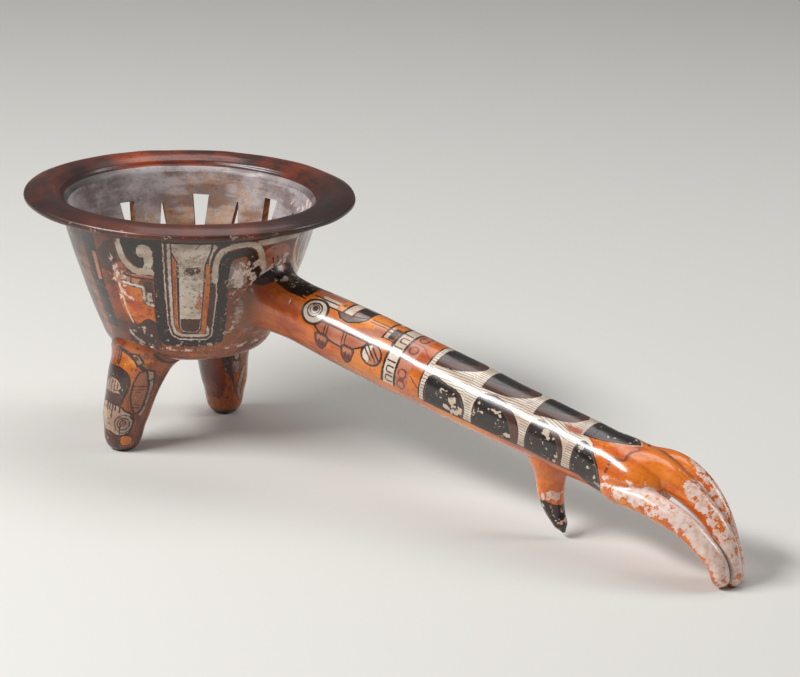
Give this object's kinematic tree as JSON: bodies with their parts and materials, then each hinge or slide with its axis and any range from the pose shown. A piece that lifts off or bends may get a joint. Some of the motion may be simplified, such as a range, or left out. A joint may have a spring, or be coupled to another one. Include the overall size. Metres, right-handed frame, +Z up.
{
  "type": "ladle censer",
  "caption": "Fired clay ladle censer: an openwork bowl with a wide rim on splayed legs, with a long sloping hollow handle that ends in a bird's claw.",
  "frame": {"origin": "on the ground under the middle of the whole censer's box", "axes": "+X from the bowl along the handle to the claw, +Z up from the ground, +Y to the left of someone who looks from the bowl to the claw"},
  "size_m": [0.4988, 0.2, 0.156],
  "materials": {
    "painted_clay": "burnished and painted in black, white, orange and brown, worn",
    "red_slip": "burnished dark red slip",
    "orange_slip": "burnished orange slip with worn pale patches",
    "burnished_grey": "smoked and burnished",
    "raw_clay": "plain fired clay"
  },
  "bodies": {
    "root": {"bowl_floor": "burnished_grey", "bowl_wall": "painted_clay", "rim_flange": "red_slip", "neck_collar": "painted_clay", "handle_tube": "painted_clay", "claw_palm": "orange_slip", "near_toe": "orange_slip", "middle_toe": "orange_slip", "far_toe": "orange_slip", "rear_talon": "orange_slip", "near_leg": "painted_clay", "far_leg": "painted_clay"},
    "handle_pellet_1": {"handle_pellet_1": "raw_clay"},
    "handle_pellet_2": {"handle_pellet_2": "raw_clay"},
    "handle_pellet_3": {"handle_pellet_3": "raw_clay"},
    "near_leg_pellet": {"near_leg_pellet": "raw_clay"},
    "far_leg_pellet": {"far_leg_pellet": "raw_clay"}
  },
  "joints": [
    {"name": "handle_pellet_1_slide", "type": "slide", "parent": "root", "child": "handle_pellet_1", "axis": [-0.9825, 0, 0.1864], "range_m": [0, 0.21]},
    {"name": "handle_pellet_2_slide", "type": "slide", "parent": "root", "child": "handle_pellet_2", "axis": [-0.9825, 0, 0.1864], "range_m": [0, 0.21]},
    {"name": "handle_pellet_3_slide", "type": "slide", "parent": "root", "child": "handle_pellet_3", "axis": [-0.9825, 0, 0.1864], "range_m": [0, 0.21]},
    {"name": "near_leg_pellet_slide", "type": "slide", "parent": "root", "child": "near_leg_pellet", "axis": [0.1124, 0.2577, 0.9597], "range_m": [0, 0.038]},
    {"name": "far_leg_pellet_slide", "type": "slide", "parent": "root", "child": "far_leg_pellet", "axis": [0.1124, -0.2577, 0.9597], "range_m": [0, 0.038]}
  ]
}
